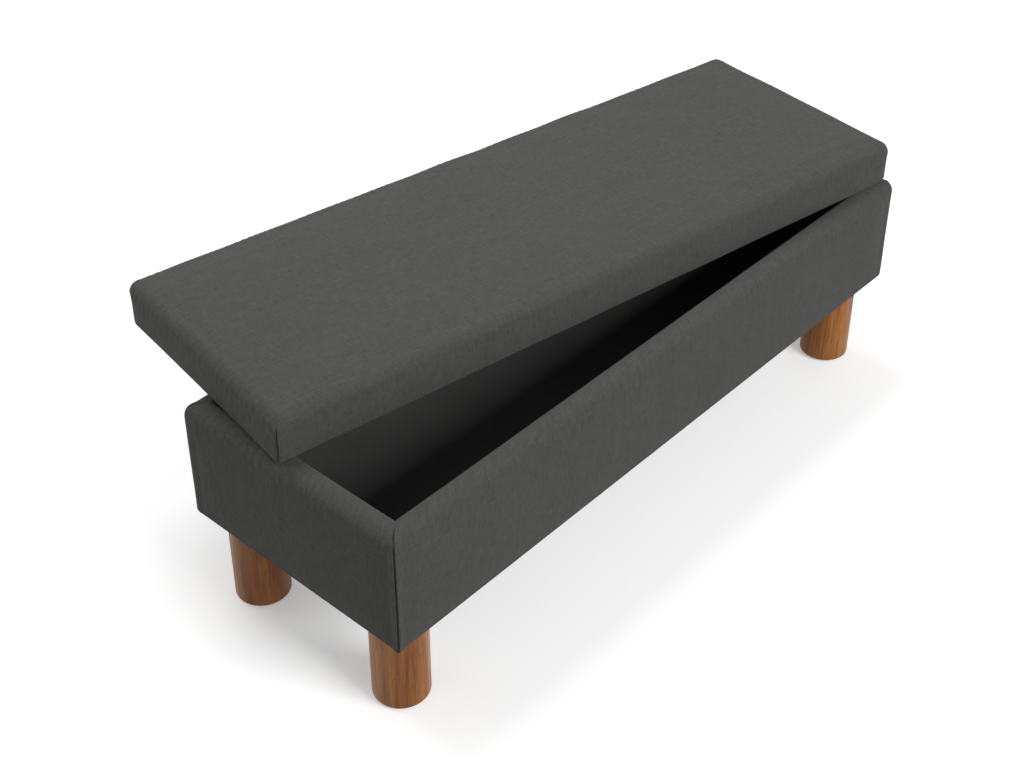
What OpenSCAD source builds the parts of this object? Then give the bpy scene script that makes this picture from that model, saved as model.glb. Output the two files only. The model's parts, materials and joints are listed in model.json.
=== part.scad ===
// Upholstered storage bench: a padded box on four round legs, with a loose padded lid.
// Origin: on the floor, at the middle of the four legs. +X runs along the bench, -Y is the front.

/* [Box] */
// Length of the upholstered box
bench_l = 1200; // [1000:5:1400]
// Depth of the upholstered box, front to back
bench_w = 421.5; // [380:0.5:500]
// Height of the upholstered box, without its legs
box_h = 192.5; // [170:0.5:220]
// Radius of the upright corners of the box
corner_r = 16; // [6:1:18]
// Radius of the rim's outer edge
rim_outer_r = 22; // [12:1:24]
// Radius of the rim's inner edge
rim_inner_r = 9; // [6:1:10]

/* [Boards] */
// Thickness of the four carcass panels
board_t = 18; // [15:1:20]
// Thickness of the floor panel
floor_t = 12; // [9:1:15]
// Height of the bearers and leg blocks under the floor panel
bearer_h = 25; // [20:1:30]
// Width of the bearers
bearer_w = 45; // [35:1:60]
// Side of a square leg block
block_w = 110; // [95:1:120]

/* [Padding and cloth] */
// Thickness of the foam on the outside of the box
foam_t = 13.5; // [10:0.5:15]
// Thickness of the foam on top of the rim
rim_pad_t = 9; // [8:0.5:12]
// Thickness of the cover cloth and of the lining
cloth_t = 1.5; // [1:0.25:2]
// Width of the cover's hem that is turned under the box
hem_w = 25; // [22:1:28]
// How far the cover is turned down inside the box
turn_down = 38; // [30:1:50]
// Thickness of the dust cloths under the box and the lid
dust_t = 1; // [0.5:0.25:1]

/* [Legs] */
// Height of the box's underside above the floor
underside_h = 162; // [120:0.5:220]
// Radius of a leg
leg_r = 42; // [25:1:42]
// Distance from the box's end to a leg's axis
leg_inset_x = 61; // [55:1:75]
// Distance from the box's front or back to a leg's axis
leg_inset_y = 64; // [55:1:75]
// Radius of the rounding at the foot of a leg
foot_round = 5; // [2:1:10]
// Radius of a glide
glide_r = 24; // [15:1:30]
// Thickness of a glide
glide_t = 2; // [1:0.5:4]

/* [Lid] */
// Length of the lid
lid_l = 1205; // [1000:1:1404]
// Depth of the lid
lid_w = 424; // [376:1:500]
// Thickness of the lid
lid_t = 70.5; // [50:0.5:90]
// Radius of the lid's top edge
lid_edge_r = 20; // [16:1:24]
// Radius of the lid's upright corners
lid_corner_r = 24; // [14:1:26]
// Radius of the lid's lower edge
lid_soft = 4; // [3:1:6]
// Thickness of the lid's board
lid_board_t = 15; // [12:1:18]
// Thickness of the wadding over the lid's foam
wadding_t = 6.5; // [4:0.5:8]
// Gap between the rim and the underside of the lid
lid_gap = 1.2; // [1:0.1:2]

/* [Lid position] */
// How far the lid is turned from its closed place, in degrees
lid_turned = 10.05; // [0:0.001:15]
// Distance of the turning point from the middle, along the bench
turn_x = 656; // [600:0.5:800]
// Distance of the turning point from the middle, towards the front
turn_y = 141.5; // [100:0.5:260]

/* [Fasteners] */
// Radius of the hanger bolts
bolt_r = 4; // [3:0.5:5]
// Length of a hanger bolt inside its leg
bolt_in_leg = 40; // [30:1:50]
// Shank radius of the wood screws
screw_r = 2; // [1.5:0.25:2.5]
// Distance between staples
staple_pitch = 75; // [50:5:120]
// Radius of the lid's bumper dots
bumper_r = 8; // [5:1:10]

/* [Hidden] */
$fn = 64;
eps = 0.01;

wall_t = 2 * cloth_t + foam_t + board_t;
in_l = bench_l - 2 * wall_t; // clear length inside
in_w = bench_w - 2 * wall_t; // clear width inside
skin = cloth_t + foam_t; // outside of the box to outside of the panels
core_l = bench_l - 2 * skin;
core_w = bench_w - 2 * skin;
bay_l = core_l - 2 * board_t; // length between the end panels
bay_w = core_w - 2 * board_t; // width between the front and back panels

board_z = underside_h + cloth_t; // lower edge of the panels
rim_z = underside_h + box_h;
board_top_z = rim_z - cloth_t - rim_pad_t;
floor_z = board_z + bearer_h;
floor_top_z = floor_z + floor_t;
lining_top_z = rim_z - turn_down;

leg_x = bench_l / 2 - leg_inset_x;
leg_y = bench_w / 2 - leg_inset_y;
block_x = bay_l / 2 - block_w / 2;
block_y = bay_w / 2 - block_w / 2;

lid_z = rim_z + lid_gap;
lid_core = cloth_t + wadding_t; // outside of the lid to its foam
board_play = 0.3; // the lid's board is this much smaller than its foam
lid_hem_w = 30;
bumper_in = 24; // from the lid's edges to a bumper dot's middle
bumper_clear = 0.3;
bumper_t = lid_gap - bumper_clear;

nut_flange_r = 10;
nut_flange_t = 1.5;
nut_barrel_r = 5;
nut_barrel_h = 10;
nut_z = floor_z - nut_flange_t - nut_barrel_h;
bolt_play = 0.05; // around a hanger bolt
leg_play = 0.5; // between a leg and the hem cut out around it
screw_head_r = 4;
screw_head_h = 3.5;
carcass_screw_l = 45;
floor_screw_l = 30;
staple_w = 11;
staple_leg = 8;
staple_wire = 0.6;
mitre_reach = wall_t + 10;

// The four sides, counted round from the front. Odd ones are the short ends.
FRONT = 0;
RIGHT = 1;
BACK = 2;
LEFT = 3;

// ---------- shared shapes ----------

// A box given by its middle in plan and its lowest level.
module block(size, at = [0, 0, 0]) {
  translate([at.x - size.x / 2, at.y - size.y / 2, at.z]) cube(size);
}

// A rectangle with round corners, centred.
module round_rect(l, w, r) {
  square([l - 2 * r, w], center = true);
  square([l, w - 2 * r], center = true);
  for (sx = [-1, 1], sy = [-1, 1])
    translate([sx * (l / 2 - r), sy * (w / 2 - r)]) circle(r);
}

// Upright section of a padded form of width w and height h: upper edges of radius r, inset by d,
// from level low up, its lower edges rounded by soft.
module crowned_section(w, h, r, d, low, soft) {
  x = w / 2 - r;
  translate([-x, low]) square([2 * x, h - d - low]);
  translate([d - w / 2, low + soft]) square([w - 2 * d, h - r - low - soft]);
  translate([d + soft - w / 2, low]) square([w - 2 * d - 2 * soft, soft + 1]);
  for (side = [-1, 1]) {
    translate([side * x, h - r]) circle(r - d);
    if (soft > 0) translate([side * (w / 2 - d - soft), low + soft]) circle(soft);
  }
}

// Distance between the two diagonal planes that touch the round corners of a rectangle.
function diagonal(l, w, r) = (l + w - 4 * r) / sqrt(2) + 2 * r;

// Length of the box along a side, and distance of that side from the middle.
function run(side) = side % 2 == 0 ? bench_l : bench_w;
function reach(side) = (side % 2 == 0 ? bench_w : bench_l) / 2;

// Section of a wall, inset by d all round: x is the depth from its outer face, y the height.
module wall_section(d) {
  translate([d, d]) square([wall_t - 2 * d, box_h - rim_outer_r - d]);
  translate([rim_outer_r, d]) square([wall_t - rim_outer_r - rim_inner_r, box_h - 2 * d]);
  translate([rim_outer_r, d]) square([wall_t - rim_outer_r - d, box_h - rim_inner_r - d]);
  intersection() {
    translate([rim_outer_r, box_h - rim_outer_r]) circle(rim_outer_r - d);
    square([rim_outer_r, box_h]);
  }
  translate([wall_t - rim_inner_r, box_h - rim_inner_r]) circle(rim_inner_r - d);
}

// Sweeps a wall section along one side of the box.
module along_side(side) {
  rotate(side * 90)
    translate([-run(side) / 2, -reach(side), underside_h])
      rotate([90, 0, 90]) linear_extrude(run(side)) children();
}

// Keeps the part of a side between its two mitred corners.
module mitred(side) {
  a = run(side) / 2;
  b = reach(side);
  intersection() {
    children();
    rotate(side * 90) translate([0, 0, underside_h - 1]) linear_extrude(box_h + 2)
      polygon([[-a, -b], [a, -b], [a - mitre_reach, mitre_reach - b], [mitre_reach - a, mitre_reach - b]]);
  }
}

// The section of the whole box across a diagonal, inset by d.
module box_diagonal(d) {
  translate([0, 0, underside_h]) rotate([90, 0, 90]) linear_extrude(bench_l, center = true)
    crowned_section(diagonal(bench_l, bench_w, corner_r), box_h, rim_outer_r, d, d, 0);
}

// One whole wall with round upright corners, inset by d.
module wall_body(side, d) {
  intersection() {
    along_side(side) wall_section(d);
    translate([0, 0, underside_h]) linear_extrude(box_h)
      round_rect(bench_l - 2 * d, bench_w - 2 * d, corner_r - d);
    rotate(45) box_diagonal(d);
    rotate(-45) box_diagonal(d);
  }
}

// Foam over the outside of one wall and over its rim.
module wall_foam(side) {
  color("#d8cfae") mitred(side) difference() {
    wall_body(side, cloth_t);
    along_side(side) translate([skin, -1]) square([wall_t, board_top_z - underside_h + 1]);
  }
}

// Cover cloth of one wall: outside, over the rim, down the inside and turned under, cut out around the legs.
module wall_cover(side) {
  color("#4c4c4b") mitred(side) difference() {
    wall_body(side, 0);
    wall_body(side, cloth_t);
    along_side(side) translate([hem_w, -1]) square([wall_t, box_h - turn_down + 1]);
    at_legs() translate([0, 0, underside_h - 1]) cylinder(h = cloth_t + 1, r = leg_r + leg_play);
  }
}

// Lining of one wall, from the floor up to the turned-down cover.
module wall_lining(side) {
  long = side % 2 == 0;
  l = long ? in_l + 2 * cloth_t : in_w;
  color("#232322") rotate(side * 90)
    block([l, cloth_t, lining_top_z - floor_top_z], [0, wall_t - cloth_t / 2 - reach(side), floor_top_z]);
}

// Places its children at the four leg axes.
module at_legs() {
  for (sx = [-1, 1], sy = [-1, 1]) translate([sx * leg_x, sy * leg_y, 0]) children();
}

module bolt_hole() {
  translate([0, 0, board_z - bolt_in_leg]) cylinder(h = bolt_in_leg + bearer_h, r = bolt_r + bolt_play);
}

module leg(sx, sy) {
  color("#7a5136") translate([sx * leg_x, sy * leg_y, 0]) difference() {
    translate([0, 0, glide_t]) rotate_extrude() {
      translate([0, foot_round]) square([leg_r, board_z - glide_t - foot_round]);
      square([leg_r - foot_round, foot_round + 1]);
      intersection() {
        translate([leg_r - foot_round, foot_round]) circle(foot_round);
        square([leg_r, 2 * foot_round]);
      }
    }
    bolt_hole();
  }
}

module leg_block(sx, sy) {
  color("#c9a877") difference() {
    block([block_w, block_w, bearer_h], [sx * block_x, sy * block_y, board_z]);
    translate([sx * leg_x, sy * leg_y, 0]) {
      bolt_hole();
      translate([0, 0, nut_z]) cylinder(h = nut_barrel_h + 1, r = nut_barrel_r);
      translate([0, 0, nut_z + nut_barrel_h]) cylinder(h = nut_flange_t + 1, r = nut_flange_r);
    }
  }
}

// A countersunk wood screw with its head's face at the origin, pointing along +Z.
module wood_screw(l) {
  cylinder(h = screw_head_h, r1 = screw_head_r, r2 = screw_r);
  translate([0, 0, screw_head_h - eps]) cylinder(h = l - screw_head_h + eps, r = screw_r);
}

// Three screws through the front or back panel into the edge of each end panel.
module carcass_screw_set() {
  x = (core_l - board_t) / 2;
  for (sy = [-1, 1], sx = [-1, 1], k = [1, 2, 3])
    translate([sx * x, sy * core_w / 2, board_z + k * (board_top_z - board_z) / 4])
      rotate([sy * 90, 0, 0]) wood_screw(carcass_screw_l);
}

// Screws down through the floor panel into the bearers.
module floor_screw_set() {
  long_row = [for (sx = [-1, 1], sy = [-1, 1], k = [1, 3]) [sx * k * bay_l / 9, sy * (bay_w - bearer_w) / 2]];
  ends = [for (sx = [-1, 1]) [sx * (bay_l - bearer_w) / 2, 0]];
  for (at = concat(long_row, ends))
    translate([at.x, at.y, floor_top_z]) mirror([0, 0, 1]) wood_screw(floor_screw_l);
}

// A staple driven upwards, its crown along X just below the origin.
module staple() {
  translate([-staple_w / 2, -staple_wire / 2, -staple_wire]) cube([staple_w, staple_wire, staple_wire]);
  for (sx = [-1, 1])
    translate([sx * (staple_w - staple_wire) / 2 - staple_wire / 2, -staple_wire / 2, -eps])
      cube([staple_wire, staple_wire, staple_leg]);
}

// Whether a staple under the box keeps clear of the legs.
function clear_of_legs(x, y) = norm([abs(x) - leg_x, abs(y) - leg_y]) > leg_r + staple_w;

// A closed row of staples round a rectangle, leaving out those that would meet a leg.
module staple_ring(l, w, under_box) {
  for (side = [FRONT, RIGHT, BACK, LEFT]) {
    long = side % 2 == 0;
    a = long ? l : w;
    b = (long ? w : l) / 2;
    n = floor(a / staple_pitch);
    for (i = [0 : n - 1]) {
      p = (i + 0.5) * a / n - a / 2;
      if (!under_box || clear_of_legs(long ? p : b, long ? b : p))
        rotate(side * 90) translate([p, -b, 0]) staple();
    }
  }
}

// ---------- box ----------

module long_panel(sy) {
  color("#b9a07a") difference() {
    block([core_l, board_t, board_top_z - board_z], [0, sy * (core_w - board_t) / 2, board_z]);
    carcass_screw_set();
  }
}

module end_panel(sx) {
  color("#b9a07a") difference() {
    block([board_t, bay_w, board_top_z - board_z], [sx * (core_l - board_t) / 2, 0, board_z]);
    carcass_screw_set();
  }
}

module floor_panel() {
  color("#b9a07a") difference() {
    block([bay_l, bay_w, floor_t], [0, 0, floor_z]);
    floor_screw_set();
  }
}

module long_bearer(sy) {
  color("#c9a877") difference() {
    block([bay_l - 2 * block_w, bearer_w, bearer_h], [0, sy * (bay_w - bearer_w) / 2, board_z]);
    floor_screw_set();
  }
}

module end_bearer(sx) {
  color("#c9a877") difference() {
    block([bearer_w, bay_w - 2 * block_w, bearer_h], [sx * (bay_l - bearer_w) / 2, 0, board_z]);
    floor_screw_set();
  }
}

module middle_bearer() {
  color("#c9a877") block([bearer_w, bay_w - 2 * bearer_w, bearer_h], [0, 0, board_z]);
}

module foot_glides() {
  color("#1c1c1c") at_legs() cylinder(h = glide_t, r = glide_r);
}

module hanger_bolts() {
  color("#b4b6b8") at_legs() translate([0, 0, board_z - bolt_in_leg])
    cylinder(h = bolt_in_leg + bearer_h - 1, r = bolt_r);
}

module tee_nuts() {
  color("#b4b6b8") at_legs() difference() {
    union() {
      translate([0, 0, nut_z]) cylinder(h = nut_barrel_h + eps, r = nut_barrel_r);
      translate([0, 0, nut_z + nut_barrel_h]) cylinder(h = nut_flange_t, r = nut_flange_r);
    }
    bolt_hole();
  }
}

module carcass_screws() {
  color("#b4b6b8") carcass_screw_set();
}

module floor_screws() {
  color("#b4b6b8") floor_screw_set();
}

module floor_lining() {
  color("#232322") block([in_l, in_w, cloth_t], [0, 0, floor_top_z]);
}

// The dust cloth lies inside the turned-under hem and is cut out around the legs.
module dust_cloth() {
  z = board_z - dust_t;
  color("#161616") difference() {
    block([bench_l - 2 * hem_w - 1, bench_w - 2 * hem_w - 1, dust_t], [0, 0, z]);
    at_legs() translate([0, 0, z - 1]) cylinder(h = dust_t + 2, r = leg_r + 1);
    for (sx = [-1, 1], sy = [-1, 1])
      block([2 * leg_inset_x, 2 * leg_inset_y, dust_t + 2], [sx * bench_l / 2, sy * bench_w / 2, z - 1]);
  }
}

// One row holds the hem to the panels, the other holds the dust cloth.
module underside_staples() {
  hem_row = 2 * (hem_w - 4);
  dust_row = 2 * (hem_w + 2.5);
  color("#b4b6b8") {
    translate([0, 0, underside_h]) staple_ring(bench_l - hem_row, bench_w - hem_row, true);
    translate([0, 0, board_z - dust_t]) staple_ring(bench_l - dust_row, bench_w - dust_row, true);
  }
}

// ---------- lid, drawn about its own middle at the level of its underside ----------

// Puts the lid where it lies: closed, then turned about the turning point.
module lid_placed() {
  translate([turn_x, -turn_y, lid_z]) rotate(-lid_turned) translate([-turn_x, turn_y, 0]) children();
}

// A section of the lid, swept along X.
module lid_sweep(w, d, low, soft) {
  rotate([90, 0, 90]) linear_extrude(lid_l, center = true)
    crowned_section(w, lid_t, lid_edge_r, d, low, soft);
}

// The lid's outer shape, inset by d.
module lid_form(d, low, soft) {
  across = diagonal(lid_l, lid_w, lid_corner_r);
  intersection() {
    lid_sweep(lid_w, d, low, soft);
    rotate(90) lid_sweep(lid_l, d, low, soft);
    rotate(45) lid_sweep(across, d, low, soft);
    rotate(-45) lid_sweep(across, d, low, soft);
    translate([0, 0, -5]) linear_extrude(lid_t + 5)
      round_rect(lid_l - 2 * d, lid_w - 2 * d, lid_corner_r - d);
  }
}

module lid_panel() {
  inset = lid_core + board_play;
  color("#b9a07a") lid_placed() translate([0, 0, cloth_t]) linear_extrude(lid_board_t)
    round_rect(lid_l - 2 * inset, lid_w - 2 * inset, lid_corner_r - inset);
}

module lid_foam() {
  color("#d8cfae") lid_placed() lid_form(lid_core, cloth_t + lid_board_t, 0);
}

module lid_wadding() {
  color("#ecebe6") lid_placed() difference() {
    lid_form(cloth_t, cloth_t, lid_soft - cloth_t);
    lid_form(lid_core, -1, 0);
  }
}

module lid_cover() {
  color("#515150") lid_placed() difference() {
    lid_form(0, 0, lid_soft);
    lid_form(cloth_t, cloth_t, lid_soft - cloth_t);
    block([lid_l - 2 * lid_hem_w, lid_w - 2 * lid_hem_w, cloth_t + 2], [0, 0, -1]);
  }
}

module lid_dust_cloth() {
  color("#161616") lid_placed()
    block([lid_l - 2 * lid_hem_w - 1, lid_w - 2 * lid_hem_w - 1, dust_t], [0, 0, cloth_t - dust_t]);
}

// Places its children at one bumper's place under the lid.
module at_bumper(sx, sy) {
  lid_placed() translate([sx * (lid_l / 2 - bumper_in), sy * (lid_w / 2 - bumper_in), -bumper_t]) children();
}

module lid_bumpers() {
  color("#2b2b2b") for (at = [[-1, -1], [-1, 1], [1, 1]])
    at_bumper(at.x, at.y) cylinder(h = bumper_t, r = bumper_r);
}

// The bumper dot nearest the turning point, free of the lid by the same play as of the rim.
module corner_bumper() {
  color("#2b2b2b") at_bumper(1, -1) cylinder(h = bumper_t - bumper_clear, r = bumper_r);
}

module lid_staples() {
  row = 2 * (lid_hem_w - 5);
  color("#b4b6b8") lid_placed() staple_ring(lid_l - row, lid_w - row, false);
}

// ---------- nodes ----------

long_panel(-1);  // front_panel
long_panel(1);  // back_panel
end_panel(-1);  // left_panel
end_panel(1);  // right_panel
floor_panel();
long_bearer(-1);  // front_bearer
long_bearer(1);  // back_bearer
end_bearer(-1);  // left_bearer
end_bearer(1);  // right_bearer
middle_bearer();
leg_block(-1, -1);  // front_left_leg_block
leg_block(1, -1);  // front_right_leg_block
leg_block(-1, 1);  // back_left_leg_block
leg_block(1, 1);  // back_right_leg_block
leg(-1, -1);  // front_left_leg
leg(1, -1);  // front_right_leg
leg(-1, 1);  // back_left_leg
leg(1, 1);  // back_right_leg
foot_glides();
hanger_bolts();
tee_nuts();
carcass_screws();
floor_screws();
wall_foam(FRONT);  // front_foam
wall_foam(BACK);  // back_foam
wall_foam(LEFT);  // left_foam
wall_foam(RIGHT);  // right_foam
wall_cover(FRONT);  // front_cover
wall_cover(BACK);  // back_cover
wall_cover(LEFT);  // left_cover
wall_cover(RIGHT);  // right_cover
wall_lining(FRONT);  // front_lining
wall_lining(BACK);  // back_lining
wall_lining(LEFT);  // left_lining
wall_lining(RIGHT);  // right_lining
floor_lining();
dust_cloth();
underside_staples();
corner_bumper();
lid_panel();
lid_foam();
lid_wadding();
lid_cover();
lid_dust_cloth();
lid_bumpers();
lid_staples();
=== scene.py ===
"""Upholstered storage bench: cloth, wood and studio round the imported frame. Everything is in metres."""
import json
import math

import bpy
import numpy as np
from mathutils import Matrix, Vector


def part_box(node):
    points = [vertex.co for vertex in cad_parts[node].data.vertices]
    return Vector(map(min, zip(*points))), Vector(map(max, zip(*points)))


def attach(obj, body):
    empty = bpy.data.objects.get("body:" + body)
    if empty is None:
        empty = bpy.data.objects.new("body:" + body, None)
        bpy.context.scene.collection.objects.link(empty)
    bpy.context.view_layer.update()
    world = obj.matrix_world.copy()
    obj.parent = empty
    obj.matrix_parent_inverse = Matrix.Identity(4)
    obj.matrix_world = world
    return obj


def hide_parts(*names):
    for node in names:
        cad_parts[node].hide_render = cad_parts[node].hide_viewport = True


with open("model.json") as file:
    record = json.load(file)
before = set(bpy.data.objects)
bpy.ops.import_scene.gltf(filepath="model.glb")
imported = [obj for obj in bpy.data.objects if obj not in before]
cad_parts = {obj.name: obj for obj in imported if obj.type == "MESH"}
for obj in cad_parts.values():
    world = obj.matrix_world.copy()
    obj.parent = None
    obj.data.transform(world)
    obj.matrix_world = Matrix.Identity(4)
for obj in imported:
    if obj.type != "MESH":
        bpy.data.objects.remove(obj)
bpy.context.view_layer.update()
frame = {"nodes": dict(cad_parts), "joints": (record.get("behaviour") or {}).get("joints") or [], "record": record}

# ---------------------------------------------------------------- sizes read from the frame

BOX_LOW = Vector((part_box("left_cover")[0].x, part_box("front_cover")[0].y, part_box("front_cover")[0].z))
BOX_HIGH = Vector((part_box("right_cover")[1].x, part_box("back_cover")[1].y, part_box("front_cover")[1].z))
HALF_L, HALF_W = BOX_HIGH.x, BOX_HIGH.y
BOX_H = BOX_HIGH.z - BOX_LOW.z
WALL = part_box("front_cover")[1].y - BOX_LOW.y
LINING_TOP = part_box("front_lining")[1].z
FLOOR_LINING_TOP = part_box("floor_lining")[1].z
TURN_DOWN = BOX_HIGH.z - LINING_TOP
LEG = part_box("front_left_leg")
LEG_R = (LEG[1].x - LEG[0].x) / 2
LEG_X = abs(LEG[0].x + LEG[1].x) / 2
LEG_Y = abs(LEG[0].y + LEG[1].y) / 2

TURN = next(j for j in frame["joints"] if j["name"] == "lid_turn")
LID_ANGLE = -math.radians(TURN["range_deg"][1])  # the lid's turn from its closed place
LID_LOW, LID_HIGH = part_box("lid_cover")
LID_T = LID_HIGH.z - LID_LOW.z
LID_MIDDLE = (LID_LOW + LID_HIGH) / 2

# Radii and widths that the frame's boxes don't give
CORNER_R = (0.005, 0.0165, 0.016, 0.0165)  # from the front left, where the cloth is tightest, on round
RIM_OUT_R = 0.022
RIM_IN_R = 0.009
EDGE_R = 0.003  # the box's lower edge
HEM = 0.025  # cloth turned in under the box
LID_EDGE_R = 0.020
LID_CORNER_R = 0.024
LID_TIGHT_R = 0.010  # the lid's front left corner
LID_LOOSE_R = 0.0255  # the lid's back left corner
LID_SOFT = 0.004  # the lid's lower edge
LID_HEM = 0.030

# The cloth's relief: how far it stands out or is drawn in
RIPPLE = 0.00034
RIPPLE_DOWN = 0.055  # how far past a roll the ripples reach
SLACK = 0.00040
SEAM_RIDGE = 0.0016
SEAM_RIDGE_WIDE = 0.008
SEAM_TUCK = 0.0036  # at the tight corner
SEAM_SHALLOW = 0.0013  # at the others
SEAM_WIDE = 0.0010
LEFT_BULGE = 0.0028  # how far the padding of the left wall stands into the compartment
BULGE_FADE = 0.030  # where that has faded out along the walls beside it
RIM_REST = 0.0002  # how far the rim may stand above the frame's
RIM_SOFT = 0.0009  # how far below that the rim starts to be pressed flat
LID_RIDGE = 0.0014
LID_RIDGE_WIDE = 0.010
LID_TUCK = 0.0026  # at the tight corner
LID_SHALLOW = 0.0011  # at the others
LID_SEAM_WIDE = 0.0011

# Cloth simulation
SIM_FRAMES = 20
COVER_PRESSURE = 4.0
COVER_CAP = 0.003
COVER_CELL = 0.012
LID_PRESSURE = 5.0
LID_CAP = 0.004
LID_CELL = 0.012
LID_RING_CELL = 0.009
HELD_ROLL = 0.7  # the share of a roll that is held

TINY = 1e-9  # keeps a division from failing where a length is zero
SAME = 1e-6  # places closer than this are the same
QUARTER = math.pi / 2


def unturned_size(spread, angle, corner_r):
    """Length and width of a rectangle with round corners, from its box after it was turned by angle."""
    c, s = abs(math.cos(angle)), abs(math.sin(angle))
    across = np.array([spread[0], spread[1]]) - 2 * corner_r
    length, width = np.linalg.solve([[c, s], [s, c]], across)
    return length + 2 * corner_r, width + 2 * corner_r


LID_L, LID_W = unturned_size(LID_HIGH - LID_LOW, LID_ANGLE, LID_CORNER_R)

# ---------------------------------------------------------------- mesh helpers


def mesh_object(name, verts, faces, uv=None, marks=None):
    """A smooth mesh from arrays. uv holds a pair for each face corner, a mark a number for each vertex."""
    mesh = bpy.data.meshes.new(name)
    mesh.from_pydata(np.asarray(verts).tolist(), [], np.asarray(faces).tolist())
    if uv is not None:
        layer = mesh.uv_layers.new(name="cloth")
        layer.data.foreach_set("uv", np.asarray(uv, np.float32).ravel())
    for key, values in (marks or {}).items():
        mark = mesh.attributes.new(key, "FLOAT", "POINT")
        mark.data.foreach_set("value", np.asarray(values, np.float32).ravel())
    mesh.polygons.foreach_set("use_smooth", np.full(len(mesh.polygons), True))
    mesh.validate()
    obj = bpy.data.objects.new(name, mesh)
    bpy.context.scene.collection.objects.link(obj)
    return obj


def grid_faces(index):
    """Quads of a grid of vertex numbers."""
    return np.stack([index[:-1, :-1], index[1:, :-1], index[1:, 1:], index[:-1, 1:]], -1).reshape(-1, 4)


def hermite(known, values, wanted):
    """Smooth curve through values at known, read at wanted, along the first axis."""
    slope = np.gradient(values, known, axis=0)
    i = np.clip(np.searchsorted(known, wanted) - 1, 0, len(known) - 2)
    h = (known[i + 1] - known[i]).reshape((-1,) + (1,) * (values.ndim - 1))
    f = ((wanted - known[i]) / (known[i + 1] - known[i])).reshape(h.shape)
    return ((2 * f**3 - 3 * f**2 + 1) * values[i] + (f**3 - 2 * f**2 + f) * h * slope[i]
            + (3 * f**2 - 2 * f**3) * values[i + 1] + (f**3 - f**2) * h * slope[i + 1])


def refine(values, rows, columns, fine_rows, fine_columns):
    """A coarse grid of vectors read at a finer grid's rows and columns."""
    across = hermite(rows, values, fine_rows)
    return hermite(columns, across.swapaxes(0, 1), fine_columns).swapaxes(0, 1)


def steps(start, stop, size):
    """Even places from start to stop, about size apart."""
    return np.linspace(start, stop, max(2, int(round(abs(stop - start) / size)) + 1))


def smoothstep(x, low, high):
    """Smooth rise from 0 where x is low to 1 where x is high. The low end may be the larger number."""
    f = np.clip((x - low) / (high - low), 0, 1)
    return f * f * (3 - 2 * f)


def waves(x, y, seed, shortest, longest, slant, count=14):
    """Ridges across x with lengths between two limits, wandering slowly as y changes. About -1 to 1."""
    draw = np.random.default_rng(seed)
    total = np.zeros(np.broadcast(x, y).shape)
    for _ in range(count):
        length = draw.uniform(shortest, longest)
        phase = draw.uniform(0, 2 * math.pi)
        lean = draw.uniform(-slant, slant)
        total += np.sin(2 * math.pi * (x + lean * y) / length + phase)
    return total / math.sqrt(count)


# ---------------------------------------------------------------- cloth simulation


def inflate(verts, faces, pinned, pressure, cap):
    """How far air pressure moves each vertex of a cloth, softly capped, while the pinned ones are held."""
    obj = mesh_object("cloth_trial", verts, faces)
    group = obj.vertex_groups.new(name="held")
    group.add([int(i) for i in pinned], 1.0, "REPLACE")
    cloth = obj.modifiers.new("cloth", "CLOTH")
    s = cloth.settings
    s.quality = 6
    s.mass = 0.3
    s.tension_stiffness = 25
    s.compression_stiffness = 25
    s.shear_stiffness = 8
    s.bending_stiffness = 1.5
    s.vertex_group_mass = "held"
    s.pin_stiffness = 1
    s.use_pressure = True
    s.uniform_pressure_force = pressure
    s.effector_weights.gravity = 0
    cloth.point_cache.frame_start = 1
    cloth.point_cache.frame_end = SIM_FRAMES
    for number in range(1, SIM_FRAMES + 1):
        bpy.context.scene.frame_set(number)
    shaped = obj.evaluated_get(bpy.context.evaluated_depsgraph_get())
    after = np.zeros(len(verts) * 3)
    shaped.data.vertices.foreach_get("co", after)
    bpy.context.scene.frame_set(1)
    bpy.data.objects.remove(obj)
    moved = after.reshape(-1, 3) - verts
    size = np.linalg.norm(moved, axis=1, keepdims=True)
    return moved * np.tanh(size / cap) * cap / np.maximum(size, TINY)


# ---------------------------------------------------------------- cover of the box

SIDES = ("front", "right", "back", "left")  # counted round from the front
SIDE_RUN = (HALF_L, HALF_W, HALF_L, HALF_W)
SIDE_REACH = (HALF_W, HALF_L, HALF_W, HALF_L)
# Lengths of a wall section's stretches: inside, inner roll, rim, outer roll, face, lower roll and hem
SECTION = np.array([TURN_DOWN - RIM_IN_R, RIM_IN_R * QUARTER, WALL - RIM_IN_R - RIM_OUT_R,
                    RIM_OUT_R * QUARTER, BOX_H - RIM_OUT_R - EDGE_R, EDGE_R * QUARTER, HEM - EDGE_R])
SECTION_AT = np.concatenate([[0], np.cumsum(SECTION)])
INSIDE, INNER_ROLL, RIM, OUTER_ROLL, FACE, LOWER_ROLL, TURNED_IN, SECTION_END = SECTION_AT
COARSE_SECTION = (0.010, 0.006, 0.008, 0.007, 0.010, 0.003, 0.012)  # cell sizes on each stretch
FINE_SECTION = (0.004, 0.0018, 0.0026, 0.0018, 0.0030, 0.0008, 0.006)
FINE_SIDE = 0.0019
PATTERN_APART = 3.0  # metres between the sides' places in the weave, so that no two look alike
SEAM_STEPS = np.array([0, 0.3, 0.6, 1.0, 1.5, 2.2, 3.1, 4.3, 6.0, 8.0]) * 0.001  # closest at the seam
# Each side's two ends: how far its straight part goes, the radius of its corner, and where the seam is
ENDS = [[(sign * (SIDE_RUN[side] - r), r, sign * (SIDE_RUN[side] - r + r * QUARTER / 2))
         for sign, r in ((-1, CORNER_R[side]), (1, CORNER_R[(side + 1) % 4]))] for side in range(4)]


def arc(t, start, length):
    """Angle turned at distance t by a quarter round that starts at start."""
    return np.clip((t - start) / length, 0, 1) * QUARTER


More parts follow.
